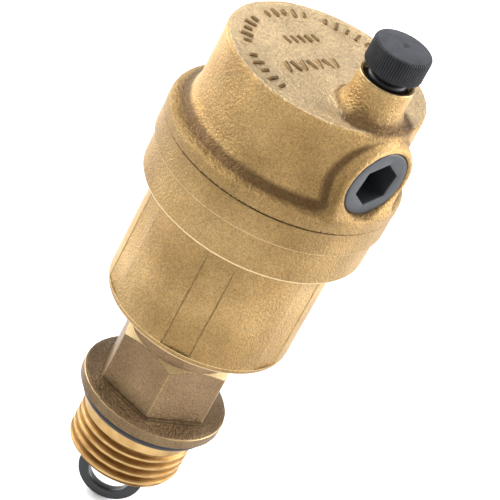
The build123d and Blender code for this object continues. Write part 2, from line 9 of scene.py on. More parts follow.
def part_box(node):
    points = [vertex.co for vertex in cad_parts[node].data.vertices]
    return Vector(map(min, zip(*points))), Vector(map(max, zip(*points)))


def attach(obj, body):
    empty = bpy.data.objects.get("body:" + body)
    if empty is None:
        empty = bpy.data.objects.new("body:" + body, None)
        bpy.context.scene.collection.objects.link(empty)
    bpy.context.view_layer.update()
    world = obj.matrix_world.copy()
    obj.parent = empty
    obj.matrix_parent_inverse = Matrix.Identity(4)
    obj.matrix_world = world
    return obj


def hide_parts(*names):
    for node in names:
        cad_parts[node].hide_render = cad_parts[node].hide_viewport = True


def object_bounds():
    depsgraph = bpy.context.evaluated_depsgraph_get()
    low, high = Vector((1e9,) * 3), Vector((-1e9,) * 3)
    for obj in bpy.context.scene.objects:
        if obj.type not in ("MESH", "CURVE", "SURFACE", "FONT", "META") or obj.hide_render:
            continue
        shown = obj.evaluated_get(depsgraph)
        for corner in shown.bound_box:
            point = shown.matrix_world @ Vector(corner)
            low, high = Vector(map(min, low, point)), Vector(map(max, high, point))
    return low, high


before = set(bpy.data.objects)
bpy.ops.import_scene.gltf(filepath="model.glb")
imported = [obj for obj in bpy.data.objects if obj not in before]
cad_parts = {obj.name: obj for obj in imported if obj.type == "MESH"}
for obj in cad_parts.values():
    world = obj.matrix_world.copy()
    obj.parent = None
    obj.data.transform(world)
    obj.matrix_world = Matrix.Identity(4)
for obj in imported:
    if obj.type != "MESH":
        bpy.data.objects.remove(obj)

MM = 0.001
cad_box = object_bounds()


# --- sizes in millimetres, angles in degrees

def box_mm(node):
    low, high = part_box(node)
    return [value / MM for value in low], [value / MM for value in high]


body_low, body_high = box_mm("body")
cover_low, cover_high = box_mm("cover")
cap_low, cap_high = box_mm("vent_cap")
plug_low, plug_high = box_mm("side_plug")
seal_low, seal_high = box_mm("vent_cap_o_ring")

END_Z = body_low[2]
SEAM_Z = body_high[2]
RIM_R = body_high[0]
COVER_R = cover_high[0]
CHIMNEY_TOP_Z = cover_high[2]
SPIGOT_Z = cover_low[2]
CHIMNEY_X = (cap_low[0] + cap_high[0]) / 2
CAP_R = (cap_high[0] - cap_low[0]) / 2
CAP_TOP_Z = cap_high[2]
STEM_Z = cap_low[2]
CAP_SEAL_Z = (seal_low[2] + seal_high[2]) / 2
BOSS_Z = (plug_low[2] + plug_high[2]) / 2
PLUG_R = (plug_high[2] - plug_low[2]) / 2
PLUG_FACE_X = plug_high[0]
PLUG_INNER_X = plug_low[0]

# nipple, collar, hexagon and neck
LAND_R = 10.478
CREST_R = 10.32
ROOT_R = 9.316
PITCH = 1.814
GROOVE_Z = -14.14  # the bottom of a thread groove on the +X side
THREAD_TOP_Z = -4.3
LAND_TOP_Z = -2.1
SEAL_SEAT_R = 10.3
INLET_R = 6.6
COLLAR_SEAL_R = 1.0
COLLAR_R = 13.25
COLLAR_RIM_Z = 2.1
COLLAR_EDGE = 0.35
HEX_FLAT_R = 9.5
HEX_CORNER_R = HEX_FLAT_R / math.cos(math.radians(30))
HEX_TURN = 11.5
HEX_FOOT_Z = 2.9
HEX_CORNER_Z = 13.1
HEX_TOP_Z = 14.0
NECK_R = 9.4

# float housing
BODY_Z = 20.2
BODY_R = 16.75
BODY_EDGE = 1.2
STRIP_TURN = 5.8
STRIP_HALF = 9.0
STRIP_DEPTH = 0.12
STRIP_LINE_HALF = 0.4
STRIP_Z = (21.7, 40.7)
BAND_Z = 43.4
BAND_R = 20.1
BAND_STEP_Z = 50.4
MOUTH_R = 17.9
MOUTH_Z = 47.1
CHAMBER_R = 14.75
CHAMBER_Z = 23.5

# cover
FLANGE_TOP_Z = 57.3
DRUM_R = 17.6
DRUM_TOP_Z = 72.6
TOP_DISH = 0.16
TOP_DISH_R = 16.75
DRUM_INNER_R = 15.3
CEILING_Z = 69.9
SPIGOT_R = 17.86
SPIGOT_GROOVE_Z = 49.6
BOSS_R = 7.4
BOSS_FACE_X = 19.4
BOSS_FOOT_HALF = 6.2
SEAT_BLOCK_R = 6.6
SEAT_BLOCK_X = 3.4
AIR_CHAMBER_R = 5.0
AIR_CHAMBER_X = 7.4
NOZZLE_BORE_R = 2.22
OUTLET_BORE_R = 1.8
STEM_BORE_R = 3.01
CHIMNEY_R = 4.85
CHIMNEY_FOOT_R = 5.45
CHIMNEY_FOOT_HEIGHT = 2.6
SEAL_RECESS_R = 4.3
SEAL_RECESS_Z = 76.7
MOUTH_JOIN_Z = 75.9

# stirrup and its sleeve
STIRRUP_R = 6.05
STIRRUP_THICK = 2.0
STIRRUP_WIDTH = 1.9
STIRRUP_CENTRE_Z = -17.85
STIRRUP_TOP_Z = -9.0
STIRRUP_TURN = 36.2
SLEEVE_INNER_R = 5.2
SLEEVE_Z = (-10.5, -4.5)


# --- material tools

class Shader:
    """A node material with one Principled shader, and short calls that add nodes to it."""

    def __init__(self, name, **sockets):
        self.material = bpy.data.materials.new(name)
        self.material.use_nodes = True
        self.tree = self.material.node_tree
        self.principled = self.tree.nodes["Principled BSDF"]
        for socket, value in sockets.items():
            self.principled.inputs[socket.replace("_", " ")].default_value = value
        self.place = self.add("ShaderNodeTexCoord").outputs["Object"]

    def add(self, kind, **inputs):
        made = self.tree.nodes.new(kind)
        for socket, value in inputs.items():
            self.feed(made.inputs[socket.replace("_", " ")], value)
        return made

    def feed(self, socket, value):
        if isinstance(value, bpy.types.NodeSocket):
            self.tree.links.new(value, socket)
        else:
            socket.default_value = value

    def noise(self, scale, detail=2.0, roughness=0.5, vector=None):
        made = self.add("ShaderNodeTexNoise", Vector=vector or self.place, Scale=scale,
                        Detail=detail, Roughness=roughness)
        return made.outputs["Fac"]

    def mapped(self, scale=(1.0, 1.0, 1.0), shift=(0.0, 0.0, 0.0)):
        """The object's coordinates, scaled and shifted."""
        made = self.add("ShaderNodeMapping", Vector=self.place, Scale=scale, Location=shift)
        return made.outputs["Vector"]

    def upward(self, vector):
        return self.add("ShaderNodeSeparateXYZ", Vector=vector).outputs["Z"]

    def ramp(self, value, *stops):
        """A colour or grey ramp through (position, grey or colour) stops."""
        made = self.add("ShaderNodeValToRGB", Fac=value)
        band = made.color_ramp
        while len(band.elements) < len(stops):
            band.elements.new(0.5)
        for element, (position, colour) in zip(band.elements, stops):
            element.position = position
            grey = isinstance(colour, (int, float))
            element.color = (colour, colour, colour, 1) if grey else (*colour, 1)
        return made.outputs["Color"]

    def mix(self, factor, first, second, blend="MIX"):
        made = self.tree.nodes.new("ShaderNodeMix")
        made.data_type = "RGBA"
        made.blend_type = blend
        self.feed(made.inputs[0], factor)
        for socket, value in zip(made.inputs[6:8], (first, second)):
            if isinstance(value, tuple):
                value = (*value, 1)
            self.feed(socket, value)
        return made.outputs[2]

    def math(self, operation, first, second=0.5):
        made = self.tree.nodes.new("ShaderNodeMath")
        made.operation = operation
        self.feed(made.inputs[0], first)
        self.feed(made.inputs[1], second)
        return made.outputs[0]

    def weighted(self, first, first_share, second, second_share):
        """The sum of two values, each times its share."""
        first = self.math("MULTIPLY", first, first_share)
        return self.math("ADD", first, self.math("MULTIPLY", second, second_share))

    def hollow(self, reach, inside=False):
        """Openness within reach, in metres: 0 in a crevice (inside: at an edge), 1 where flat."""
        made = self.add("ShaderNodeAmbientOcclusion", Distance=reach)
        made.samples = 8
        made.inside = inside
        made.only_local = True
        return made.outputs["AO"]

    def bump(self, height, distance, strength=1.0):
        made = self.add("ShaderNodeBump", Height=height, Distance=distance, Strength=strength)
        self.tree.links.new(made.outputs["Normal"], self.principled.inputs["Normal"])

    def colour(self, value):
        self.feed(self.principled.inputs["Base Color"], value)

    def roughness(self, value):
        self.feed(self.principled.inputs["Roughness"], value)


# tone by height: painted shade over the collar and from the band up to the flange's top, a little
# lighter on the hexagon and the drum: (height above the collar's lower face in 100 mm, tone)
TONE_BY_HEIGHT = ((0.026, 0.80), (0.034, 1.04), (0.17, 1.04), (0.20, 0.92), (0.42, 0.92), (0.44, 0.88),
          (0.50, 0.84), (0.575, 0.76), (0.60, 1.06))


def cast_tone(shader, speckle, tones, lit_top_tone):
    """Cloudy brass, its tone changed by height with painted shade low down, and painted light on the
    cover's upward-facing top.
    """
    base = shader.ramp(shader.noise(70, detail=3), *zip((0.30, 0.50, 0.70), tones))
    base = shader.mix(0.85, base, speckle, "MULTIPLY")
    height = shader.upward(shader.place)
    height_tone = shader.ramp(shader.math("MULTIPLY", height, 10.0), *TONE_BY_HEIGHT)
    base = shader.mix(1.0, base, height_tone, "MULTIPLY")
    normal = shader.add("ShaderNodeNewGeometry").outputs["Normal"]
    # painted light: faces turned up on the cover's top take the paler top tone
    facing_up = shader.ramp(shader.upward(normal), (0.80, 0.0), (0.97, 0.9))
    on_top = shader.ramp(height, (0.0700, 0.0), (0.0715, 1.0))
    painted_top_light = shader.mix(0.7, lit_top_tone, speckle, "MULTIPLY")
    return shader.mix(shader.math("MULTIPLY", facing_up, on_top), base, painted_top_light)


def cast_tarnish_and_shade(shader, base, speckle):
    """Broad runs of tarnish; ragged brown grime with painted shade in the fillets; painted shade in
    wide valleys.
    """
    upright = shader.mapped((1.0, 1.0, 0.35))
    runs = shader.noise(110, detail=3, vector=upright)
    base = shader.mix(1.0, base, shader.ramp(runs, (0.40, 0.91), (0.58, 1.08)), "MULTIPLY")
    filled = shader.add("ShaderNodeAttribute")
    filled.attribute_name = "fillet_shade_and_grime"
    strength = shader.ramp(shader.noise(60, detail=2), (0.40, 0.80), (0.54, 1.0))
    filling = shader.math("MULTIPLY", filled.outputs["Fac"], strength)
    streak = shader.noise(1500, detail=4, roughness=0.65, vector=upright)
    ragged = shader.weighted(filling, 0.6, streak, 0.36)
    fillet = shader.ramp(ragged, (0.23, 0.0), (0.42, 0.52), (0.62, 0.95))
    shade_and_grime = shader.mix(0.8, (0.098, 0.058, 0.026), speckle, "MULTIPLY")
    base = shader.mix(fillet, base, shade_and_grime)
    # painted shade in wide valleys, from ambient occlusion within 4 mm
    valley = shader.ramp(shader.hollow(4.0 * MM), (0.35, 0.60), (0.72, 0.0))
    return shader.mix(valley, base, shade_and_grime)


def cast_wear(shader, base, crevice):
    """Painted shade in crevices, dark pits, and bright edges that are partly wear and partly painted
    highlight.
    """
    # painted shade in crevices, from ambient occlusion within 1.6 mm
    hollow = shader.ramp(shader.hollow(1.6 * MM), (0.35, 0.85), (0.75, 0.0))
    base = shader.mix(hollow, base, crevice)
    # bright edges from ambient occlusion turned inside out: partly edge wear, partly painted
    # highlight
    edge = shader.ramp(shader.hollow(0.7 * MM, inside=True), (0.25, 0.30), (0.55, 0.0))
    base = shader.mix(edge, base, (0.75, 0.56, 0.28))
    pits = shader.ramp(shader.noise(900, detail=1), (0.24, 0.22), (0.30, 0.0))
    return shader.mix(pits, base, crevice)


def cast_brass(name, tones, lit_top_tone, crevice, relief):
    """Sand-blasted casting with a fine grain, its relief in millimetres."""
    shader = Shader(name, Metallic=1.0)
    grain = shader.noise(2300, detail=2, roughness=0.55)
    fine = shader.noise(5200, detail=3, roughness=0.6)
    mottle = shader.weighted(grain, 0.4, fine, 0.6)
    speckle = shader.ramp(mottle, (0.40, 0.66), (0.50, 1.0), (0.60, 1.36))
    base = cast_tone(shader, speckle, tones, lit_top_tone)
    base = cast_tarnish_and_shade(shader, base, speckle)
    shader.colour(cast_wear(shader, base, crevice))
    shader.roughness(shader.ramp(grain, (0.3, 0.40), (0.7, 0.62)))
    shader.bump(shader.weighted(grain, 0.7, fine, 0.3), relief * MM)
    return shader.material


def plain_brass(name, dark, light, rough, metallic=1.0):
    """Brass of one tone with a fine grain, for edges, chamfers, seams, cast marks, painted shade and
    painted highlight.
    """
    shader = Shader(name, Metallic=metallic)
    grain = shader.noise(1500, detail=4, roughness=0.65)
    shader.colour(shader.ramp(grain, (0.32, dark), (0.68, light)))
    shader.roughness(shader.ramp(grain, (0.3, rough - 0.08), (0.7, rough + 0.08)))
    shader.bump(grain, 0.05 * MM, 0.5)
    return shader.material


def machined_brass(name, dark, light, rough):
    """Turned brass: fine rings about Z, clean orange gold, with painted shade in its hollows."""
    shader = Shader(name, Metallic=1.0)
    rings = shader.noise(1.0, detail=3, vector=shader.mapped((60.0, 60.0, 9000.0)))
    cloud = shader.noise(260, detail=4)
    base = shader.ramp(cloud, (0.32, dark), (0.68, light))
    # painted shade in the hollows, from ambient occlusion within 1 mm
    hollow = shader.ramp(shader.hollow(1.0 * MM), (0.30, 0.6), (0.80, 0.0))
    shader.colour(shader.mix(hollow, base, (0.20, 0.09, 0.02)))
    shader.roughness(shader.ramp(rings, (0.3, rough - 0.08), (0.7, rough + 0.08)))
    shader.bump(rings, 0.012 * MM, 0.6)
    return shader.material


def moulded_plastic(name, colour, rough, grain_scale=3200, depth=0.02, gloss=0.5):
    """Moulded plastic: slight cloudiness in tone and gloss, and a fine surface grain."""
    shader = Shader(name, Specular_IOR_Level=gloss)
    cloud = shader.noise(240, detail=4)
    grain = shader.noise(grain_scale, detail=2)
    darker = tuple(0.72 * part for part in colour)
    lighter = tuple(min(1.0, 1.30 * part) for part in colour)
    shader.colour(shader.ramp(cloud, (0.30, darker), (0.70, lighter)))
    shader.roughness(shader.ramp(cloud, (0.3, rough - 0.07), (0.7, rough + 0.07)))
    shader.bump(grain, depth * MM, 0.5)
    return shader.material


def cap_plastic(name, gloss, dark, light):
    """Black plastic of the cap, with the swirl that the moulding leaves on its top."""
    shader = Shader(name, Specular_IOR_Level=gloss)
    centred = shader.mapped(shift=(-CHIMNEY_X * MM, 0.0, 0.0))
    rings = shader.add("ShaderNodeTexWave", Vector=centred, Scale=330.0, Distortion=3.0,
                       Detail=3.0, Detail_Scale=2.0)
    rings.wave_type = "RINGS"
    rings.rings_direction = "Z"
    cloud = shader.noise(420, detail=4, roughness=0.65)
    shader.colour(shader.ramp(cloud, (0.34, dark), (0.66, light)))
    swirl = shader.math("MULTIPLY", rings.outputs["Fac"], 0.05)
    shader.roughness(shader.math("ADD", swirl, shader.ramp(cloud, (0.3, 0.34), (0.7, 0.48))))
    grain = shader.noise(4200, detail=2)
    shader.bump(shader.weighted(grain, 1.0, rings.outputs["Fac"], 0.22), 0.02 * MM, 0.5)
    return shader.material


def rubber():
    shader = Shader("black_rubber", Specular_IOR_Level=0.3)
    cloud = shader.noise(500, detail=4)
    shader.colour(shader.ramp(cloud, (0.3, (0.006, 0.006, 0.007)), (0.7, (0.016, 0.016, 0.018))))
    shader.roughness(shader.ramp(cloud, (0.3, 0.38), (0.7, 0.56)))
    shader.bump(shader.noise(5200, detail=2), 0.015 * MM, 0.5)
    return shader.material


def bright_steel():
    shader = Shader("bright_steel", Metallic=1.0)
    brushed = shader.noise(1.0, detail=3, vector=shader.mapped((600.0, 5200.0, 600.0)))
    shader.colour(shader.ramp(brushed, (0.3, (0.50, 0.50, 0.51)), (0.7, (0.74, 0.74, 0.73))))
    shader.roughness(shader.ramp(brushed, (0.3, 0.20), (0.7, 0.38)))
    shader.bump(brushed, 0.01 * MM, 0.5)
    return shader.material


# --- mesh tools

def add_object(name, data):
    made = bpy.data.objects.new(name, data)
    bpy.context.scene.collection.objects.link(made)
    return made


def finish_mesh(name, vertices, faces, materials, indices=None, sharp=None):
    """A mesh object from millimetre coordinates, smooth shaded with sharp edges kept."""
    mesh = bpy.data.meshes.new(name)
    mesh.from_pydata((np.asarray(vertices) * MM).tolist(), [], faces)
    for material in materials:
        mesh.materials.append(material)
    if indices is not None:
        mesh.polygons.foreach_set("material_index", indices)
    mesh.polygons.foreach_set("use_smooth", [True] * len(mesh.polygons))
    if sharp is not None:
        mesh.set_sharp_from_angle(angle=math.radians(sharp))
    mesh.validate()
    mesh.update()
    return add_object(name, mesh)


def polar_mesh(name, rows, materials, sharp=35, closed=False, pick=None):
    """A skin over rows of points, all the same length, each row a closed ring.

    A row is (points, material index). The skin is closed if its last row joins its first;
    otherwise the end rows are capped with one face each. pick, if given, chooses the index
    of a face from its centre and its row's index."""
    count = len(rows[0][0])
    vertices = np.concatenate([points for points, _ in rows])
    faces, indices = [], []
    last = len(rows) if closed else len(rows) - 1
    for i in range(last):
        low, high = i * count, ((i + 1) % len(rows)) * count
        for j in range(count):
            k = (j + 1) % count
            face = (low + j, low + k, high + k, high + j)
            faces.append(face)
            index = rows[(i + 1) % len(rows)][1]
            indices.append(pick(vertices[list(face)].mean(axis=0), index) if pick else index)
    if not closed:
        faces.append(tuple(range(count - 1, -1, -1)))
        faces.append(tuple(range((len(rows) - 1) * count, len(rows) * count)))
        indices += [rows[0][1], rows[-1][1]]
    return finish_mesh(name, vertices, faces, materials, indices, sharp)


def ring_row(angles, radius, z, index=0, centre=(0.0, 0.0)):
    """One row of a turned skin, at a radius and a height that may change round it."""
    x = centre[0] + radius * np.cos(angles)
    y = centre[1] + radius * np.sin(angles)
    return np.stack([x, y, np.broadcast_to(z, angles.shape)], axis=1), index


def turned(angles, *sections, centre=(0.0, 0.0)):
    """Rows of a turned skin. A section is (profile points (r, z), material index)."""
    return [ring_row(angles, r, z, index, centre) for points, index in sections for r, z in points]


def arc_points(centre, radius, start, end, steps):
    """Profile points (r, z) on an arc about centre, angles in degrees."""
    angles = np.radians(np.linspace(start, end, steps + 1))
    return [(centre[0] + radius * math.cos(a), centre[1] + radius * math.sin(a)) for a in angles]


def straight(start, end, steps):
    return [(start[0] + (end[0] - start[0]) * t, start[1] + (end[1] - start[1]) * t)
            for t in np.linspace(0, 1, steps + 1)]


def lay_along_x(obj, x):
    """Turn a piece made about Z to lie along +X in the boss, its z = 0 going to x."""
    place = Matrix.Translation((x * MM, 0, BOSS_Z * MM)) @ Matrix.Rotation(math.radians(90), 4, "Y")
    obj.data.transform(place)


# --- body

CAST, AGED, MACHINED, RUBBED_HIGHLIGHT, SEAM_AND_SHADE, WORN, PALE, PAINTED_SHADOW, SHADED_FLANK = range(9)


def body_angles():
    """Angles round the body: even steps, and close pairs at the hexagon and strip edges."""
    step, close = 1.5, 0.15
    angles = set(np.round(np.arange(0, 360, step), 3))
    for k in range(6):
        corner = HEX_TURN + 60 * k
        angles |= {round((corner + d) % 360, 3) for d in (-1.4, -0.3, 0, 0.3, 1.4)}
        for side in (-1, 1):
            edge = STRIP_TURN + 60 * k + side * STRIP_HALF
            angles |= {round((edge + d) % 360, 3) for d in (-0.46, -0.28, 0.28, 0.46)}
    kept = []
    for angle in sorted(angles):
        if not kept or angle - kept[-1] > close:
            kept.append(angle)
    return np.radians(np.array(kept))


def hexagon_radius(angles):
    """Distance from the axis to the hexagon's side, its corners a little rounded."""
    rounding, softness, cut = 0.10, 0.002, 0.9
    turn = np.radians(30 + HEX_TURN)
    sector = np.mod(angles - turn + np.pi / 6, np.pi / 3) - np.pi / 6
    side = HEX_FLAT_R / np.cos(sector)
    past = side - (HEX_CORNER_R - rounding)
    return side - 0.5 * (np.sqrt(past ** 2 + softness) + past) * cut


def strip_radius(angles):
    """The float housing's radius: a flat in each of six strips, with a fine groove at its edges."""
    groove = 0.11
    from_strip = np.mod(angles - np.radians(STRIP_TURN) + np.pi / 6, np.pi / 3) - np.pi / 6
    flat = BODY_R * math.cos(math.radians(STRIP_HALF)) - STRIP_DEPTH
    in_strip = np.abs(from_strip) < np.radians(STRIP_HALF)
    on_edge = np.abs(np.degrees(np.abs(from_strip)) - STRIP_HALF) < STRIP_LINE_HALF
    return np.where(in_strip, flat / np.cos(from_strip), BODY_R) - groove * on_edge


def thread_radius(angles, z):
    """Radius of the right-hand pipe thread, fading out under the land."""
    root_share, flank_share, lead_in = 0.12, 0.70, 0.1
    phase = np.mod((z - GROOVE_Z) / PITCH - angles / (2 * np.pi), 1.0)
    rise = 1 - np.abs(2 * phase - 1)
    height = np.clip((rise - root_share) / flank_share, 0, 1)
    height = height * height * (3 - 2 * height)
    fade = np.clip((THREAD_TOP_Z - 0.3 - z) / (0.6 * PITCH), 0, 1)
    chamfer = ROOT_R + lead_in + (z - END_Z)
    return np.minimum(CREST_R - (CREST_R - ROOT_R) * (1 - height) * fade, chamfer)


def nipple_rows(angles):
    """The end face, the thread, the land above it and the seal's seat."""
    rows = turned(angles, (straight((INLET_R, END_Z), (ROOT_R - 0.1, END_Z), 3), MACHINED))
    for z in np.arange(END_Z + 0.05, THREAD_TOP_Z, 0.09):
        rows.append(ring_row(angles, thread_radius(angles, z), z, MACHINED))
    land = straight((LAND_R, THREAD_TOP_Z + 0.1), (LAND_R, LAND_TOP_Z - 0.05), 3)
    return rows + turned(
        angles,
        ([(CREST_R, THREAD_TOP_Z)] + land + [(LAND_R - 0.05, LAND_TOP_Z)], MACHINED),
        ([(SEAL_SEAT_R, LAND_TOP_Z), (SEAL_SEAT_R, 0)], MACHINED))


def collar_rows(angles):
    """The sealing collar, its upper edge worn."""
    low_edge = 0.15
    centre = (COLLAR_R - COLLAR_EDGE, COLLAR_RIM_Z - COLLAR_EDGE)
    return turned(
        angles,
        (straight((SEAL_SEAT_R + 0.02, 0), (COLLAR_R - low_edge, 0), 3), AGED),
        (arc_points((COLLAR_R - low_edge, low_edge), low_edge, -45, 0, 1), AGED),
        (straight((COLLAR_R, 0.4), (COLLAR_R, COLLAR_RIM_Z - COLLAR_EDGE - 0.1), 3), AGED),
        (arc_points(centre, COLLAR_EDGE, 0, 22, 2), AGED),
        (arc_points(centre, COLLAR_EDGE, 34, 46, 1), WORN),
        (arc_points(centre, COLLAR_EDGE, 58, 75, 2), AGED))


def hexagon_rows(angles):
    """The collar's sloping top, a fillet painted with shadow, the hexagon's flats and its chamfer.
    """
    fillet = 0.45
    fillet_z = HEX_FOOT_Z - 0.25
    rim_r, rim_z = COLLAR_R - 0.75 * COLLAR_EDGE, COLLAR_RIM_Z + 0.03
    side = hexagon_radius(angles)
    rows = []
    for t in np.linspace(0.1, 1, 7):
        radius = rim_r + (side + fillet - rim_r) * t
        rows.append(ring_row(angles, radius, rim_z + (fillet_z - rim_z) * t, AGED))
    # painted shadow on the fillet at the hexagon's foot and on the foot of its flats
    for turn in np.radians((30, 60, 90)):
        radius = side + fillet * (1 - math.sin(turn))
        rows.append(ring_row(angles, radius, fillet_z + fillet * (1 - math.cos(turn)), PAINTED_SHADOW))
    rows.append(ring_row(angles, side, HEX_FOOT_Z + 0.4, PAINTED_SHADOW))
    for z in np.linspace(HEX_FOOT_Z + 0.8, HEX_CORNER_Z - 0.3, 8):
        rows.append(ring_row(angles, side, z, AGED))
    slope = (HEX_CORNER_R - HEX_FLAT_R) / (HEX_TOP_Z - HEX_CORNER_Z)
    for z in np.linspace(HEX_CORNER_Z - 0.2, HEX_TOP_Z, 26):
        cone = HEX_CORNER_R - 0.15 - slope * (z - HEX_CORNER_Z)
        rows.append(ring_row(angles, np.minimum(side, cone), z, AGED))
    return rows


def housing_rows(angles):
    """The neck, and the float housing with its strips."""
    fillet = 0.8
    centre = (BODY_R - BODY_EDGE, BODY_Z + BODY_EDGE)
    rows = turned(
        angles,
        ([(NECK_R, HEX_TOP_Z + 0.02)], AGED),
        (straight((NECK_R, HEX_TOP_Z + 0.3), (NECK_R, BODY_Z - fillet), 4), AGED),
        (arc_points((NECK_R + fillet, BODY_Z - fillet), fillet, 180, 90, 4)[1:], AGED),
        (straight((NECK_R + 1.5, BODY_Z), (BODY_R - BODY_EDGE, BODY_Z), 5), CAST),
        # painted highlight on the rounding of the body's lower edge
        (arc_points(centre, BODY_EDGE, -80, -30, 6), PALE),
        (arc_points(centre, BODY_EDGE, -20, 0, 2), CAST),
        ([(BODY_R + 0.01, STRIP_Z[0] - 0.11)], CAST),
        # painted highlight, partly wear: a bright line where the strips begin
        ([(BODY_R + 0.01, STRIP_Z[0] - 0.03)], RUBBED_HIGHLIGHT))
    strips = strip_radius(angles)
    for z in [STRIP_Z[0] + 0.06] + list(np.linspace(STRIP_Z[0] + 0.8, STRIP_Z[1] - 0.3, 28)):
        rows.append(ring_row(angles, strips, z, CAST))
    return rows


def band_rows(angles):
    """The step out to the band, the band, its narrow ledge and the joint with the cover."""
    bend, edge = 1.6, 0.9
    under = (BODY_R + bend, BAND_Z - bend)
    corner = (BAND_R - edge, BAND_Z + edge)
    return turned(
        angles,
        ([(BODY_R, STRIP_Z[1]), (BODY_R, BAND_Z - bend - 0.3)], CAST),
        (arc_points(under, bend, 180, 130, 4), CAST),
        # painted highlight on the bend under the band and on the band's lower edge
        (arc_points(under, bend, 120, 90, 3), PALE),
        (arc_points(corner, edge, -90, -18, 7), PALE),
        (arc_points(corner, edge, -10, 0, 1), CAST),
        (straight((BAND_R, BAND_Z + 1.3), (BAND_R + 0.05, BAND_STEP_Z - 0.12), 8), CAST),
        ([(BAND_R + 0.08, BAND_STEP_Z), (RIM_R - 0.2, BAND_STEP_Z + 0.03)], SEAM_AND_SHADE),
        ([(RIM_R - 0.06, BAND_STEP_Z + 0.06)], CAST),
        # painted highlight, partly wear: a bright line over the band's step
        ([(RIM_R, BAND_STEP_Z + 0.16)], RUBBED_HIGHLIGHT),
        (straight((RIM_R, BAND_STEP_Z + 0.8), (RIM_R, SEAM_Z - 0.42), 6), CAST),
        ([(RIM_R - 0.01, SEAM_Z - 0.13)], CAST),
        ([(RIM_R - 0.10, SEAM_Z - 0.04), (RIM_R - 0.3, SEAM_Z)], SEAM_AND_SHADE))


def chamber_rows(angles):
    """The mouth for the cover's spigot, the float chamber and the inlet."""
    return turned(
        angles,
        ([(MOUTH_R, SEAM_Z), (MOUTH_R, MOUTH_Z), (CHAMBER_R, MOUTH_Z)], MACHINED),
        ([(CHAMBER_R, CHAMBER_Z), (INLET_R + 2.0, CHAMBER_Z - 0.6)], CAST),
        ([(INLET_R, CHAMBER_Z - 2.6)], MACHINED))


def body_rows(angles):
    """The body's whole skin: from the inlet's end up the outside, and down inside."""
    sections = (nipple_rows, collar_rows, hexagon_rows, housing_rows, band_rows, chamber_rows)
    return [row for section in sections for row in section(angles)]


def casting_wander(points, normals, amount=0.035):
    """Push casting skin in and out a little, as sand moulds leave it."""
    moved = points.copy()
    for i, (point, normal) in enumerate(zip(points, normals)):
        slow = noise.noise(Vector(point) * 0.17)
        quick = noise.noise(Vector(point) * 0.55 + Vector((7.0, 3.0, 1.0)))
        moved[i] = point + normal * amount * (slow + 0.6 * quick)
    return moved


def body_finish(centre, index):
    """A face's finish: pale chamfer and worn corners on the hexagon, painted shade on the thread's
    flanks, worn edges on the strips."""
    x, y, z = centre
    angle, radius = math.atan2(y, x), math.hypot(x, y)
    degrees = math.degrees(angle)
    if HEX_FOOT_Z + 0.6 < z < HEX_TOP_Z and index == AGED:
        if hexagon_radius(np.array([angle]))[0] - radius > 0.06:
            return PALE
        on_corner = abs((degrees - HEX_TURN + 30) % 60 - 30) < 0.35
        return WORN if on_corner else index
    if END_Z < z < THREAD_TOP_Z and index == MACHINED and radius > ROOT_R:
        # painted shade: the thread's flanks take a darker copy of the machined brass, its crests
        # stay bright
        return MACHINED if radius > CREST_R - 0.02 else SHADED_FLANK
    if STRIP_Z[0] < z < STRIP_Z[1] and index == CAST and radius > CHAMBER_R + 1:
        from_edge = [(degrees - STRIP_TURN - side * STRIP_HALF + 30) % 60 - 30 for side in (-1, 1)]
        if min(abs(d) for d in from_edge) < STRIP_LINE_HALF:
            return WORN
    return index


def make_body(materials):
    angles = body_angles()
    body = polar_mesh("body_casting", body_rows(angles), materials, sharp=28, closed=True,
                      pick=body_finish)
    mesh = body.data
    as_cast = sorted({i for polygon in mesh.polygons if polygon.material_index != MACHINED
                      for i in polygon.vertices})
    points = np.array([mesh.vertices[i].co for i in as_cast]) / MM
    normals = np.array([mesh.vertices[i].normal for i in as_cast])
    within_rim = np.hypot(points[:, 0], points[:, 1]) < RIM_R - 0.1
    moved = casting_wander(points, normals * within_rim[:, None])
    for i, point in zip(as_cast, moved):
        mesh.vertices[i].co = point * MM
    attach(body, "housing")
    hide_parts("body")


# --- cover, as the zero surface of a distance field

def round_box(d, e, radius):
    """Distance to a rounded corner from two signed distances, both already less radius."""
    outside = np.hypot(np.maximum(d + radius, 0), np.maximum(e + radius, 0))
    return outside + np.minimum(np.maximum(d + radius, e + radius), 0) - radius


def blend_union(a, b, reach):
    """Union of two distances with a fillet of about the given reach."""
    h = np.clip(0.5 + 0.5 * (b - a) / reach, 0, 1)
    return b + (a - b) * h - reach * h * (1 - h)


def cylinder(rho, z, radius, low, high, rounding):
    return round_box(rho - radius, np.abs(z - (low + high) / 2) - (high - low) / 2, rounding)


def arch(y, z):
    """Distance to the boss outline: a circle with sides that narrow down to the flange."""
    circle = np.hypot(y, z - BOSS_Z) - BOSS_R
    lean = math.atan2(BOSS_R - BOSS_FOOT_HALF, BOSS_Z - SEAM_Z)
    side = (np.abs(y) - BOSS_R) * math.cos(lean) + (BOSS_Z - z) * math.sin(lean)
    foot = np.maximum(np.maximum(side, z - BOSS_Z), SEAM_Z - 2 - z)
    return np.minimum(circle, foot)


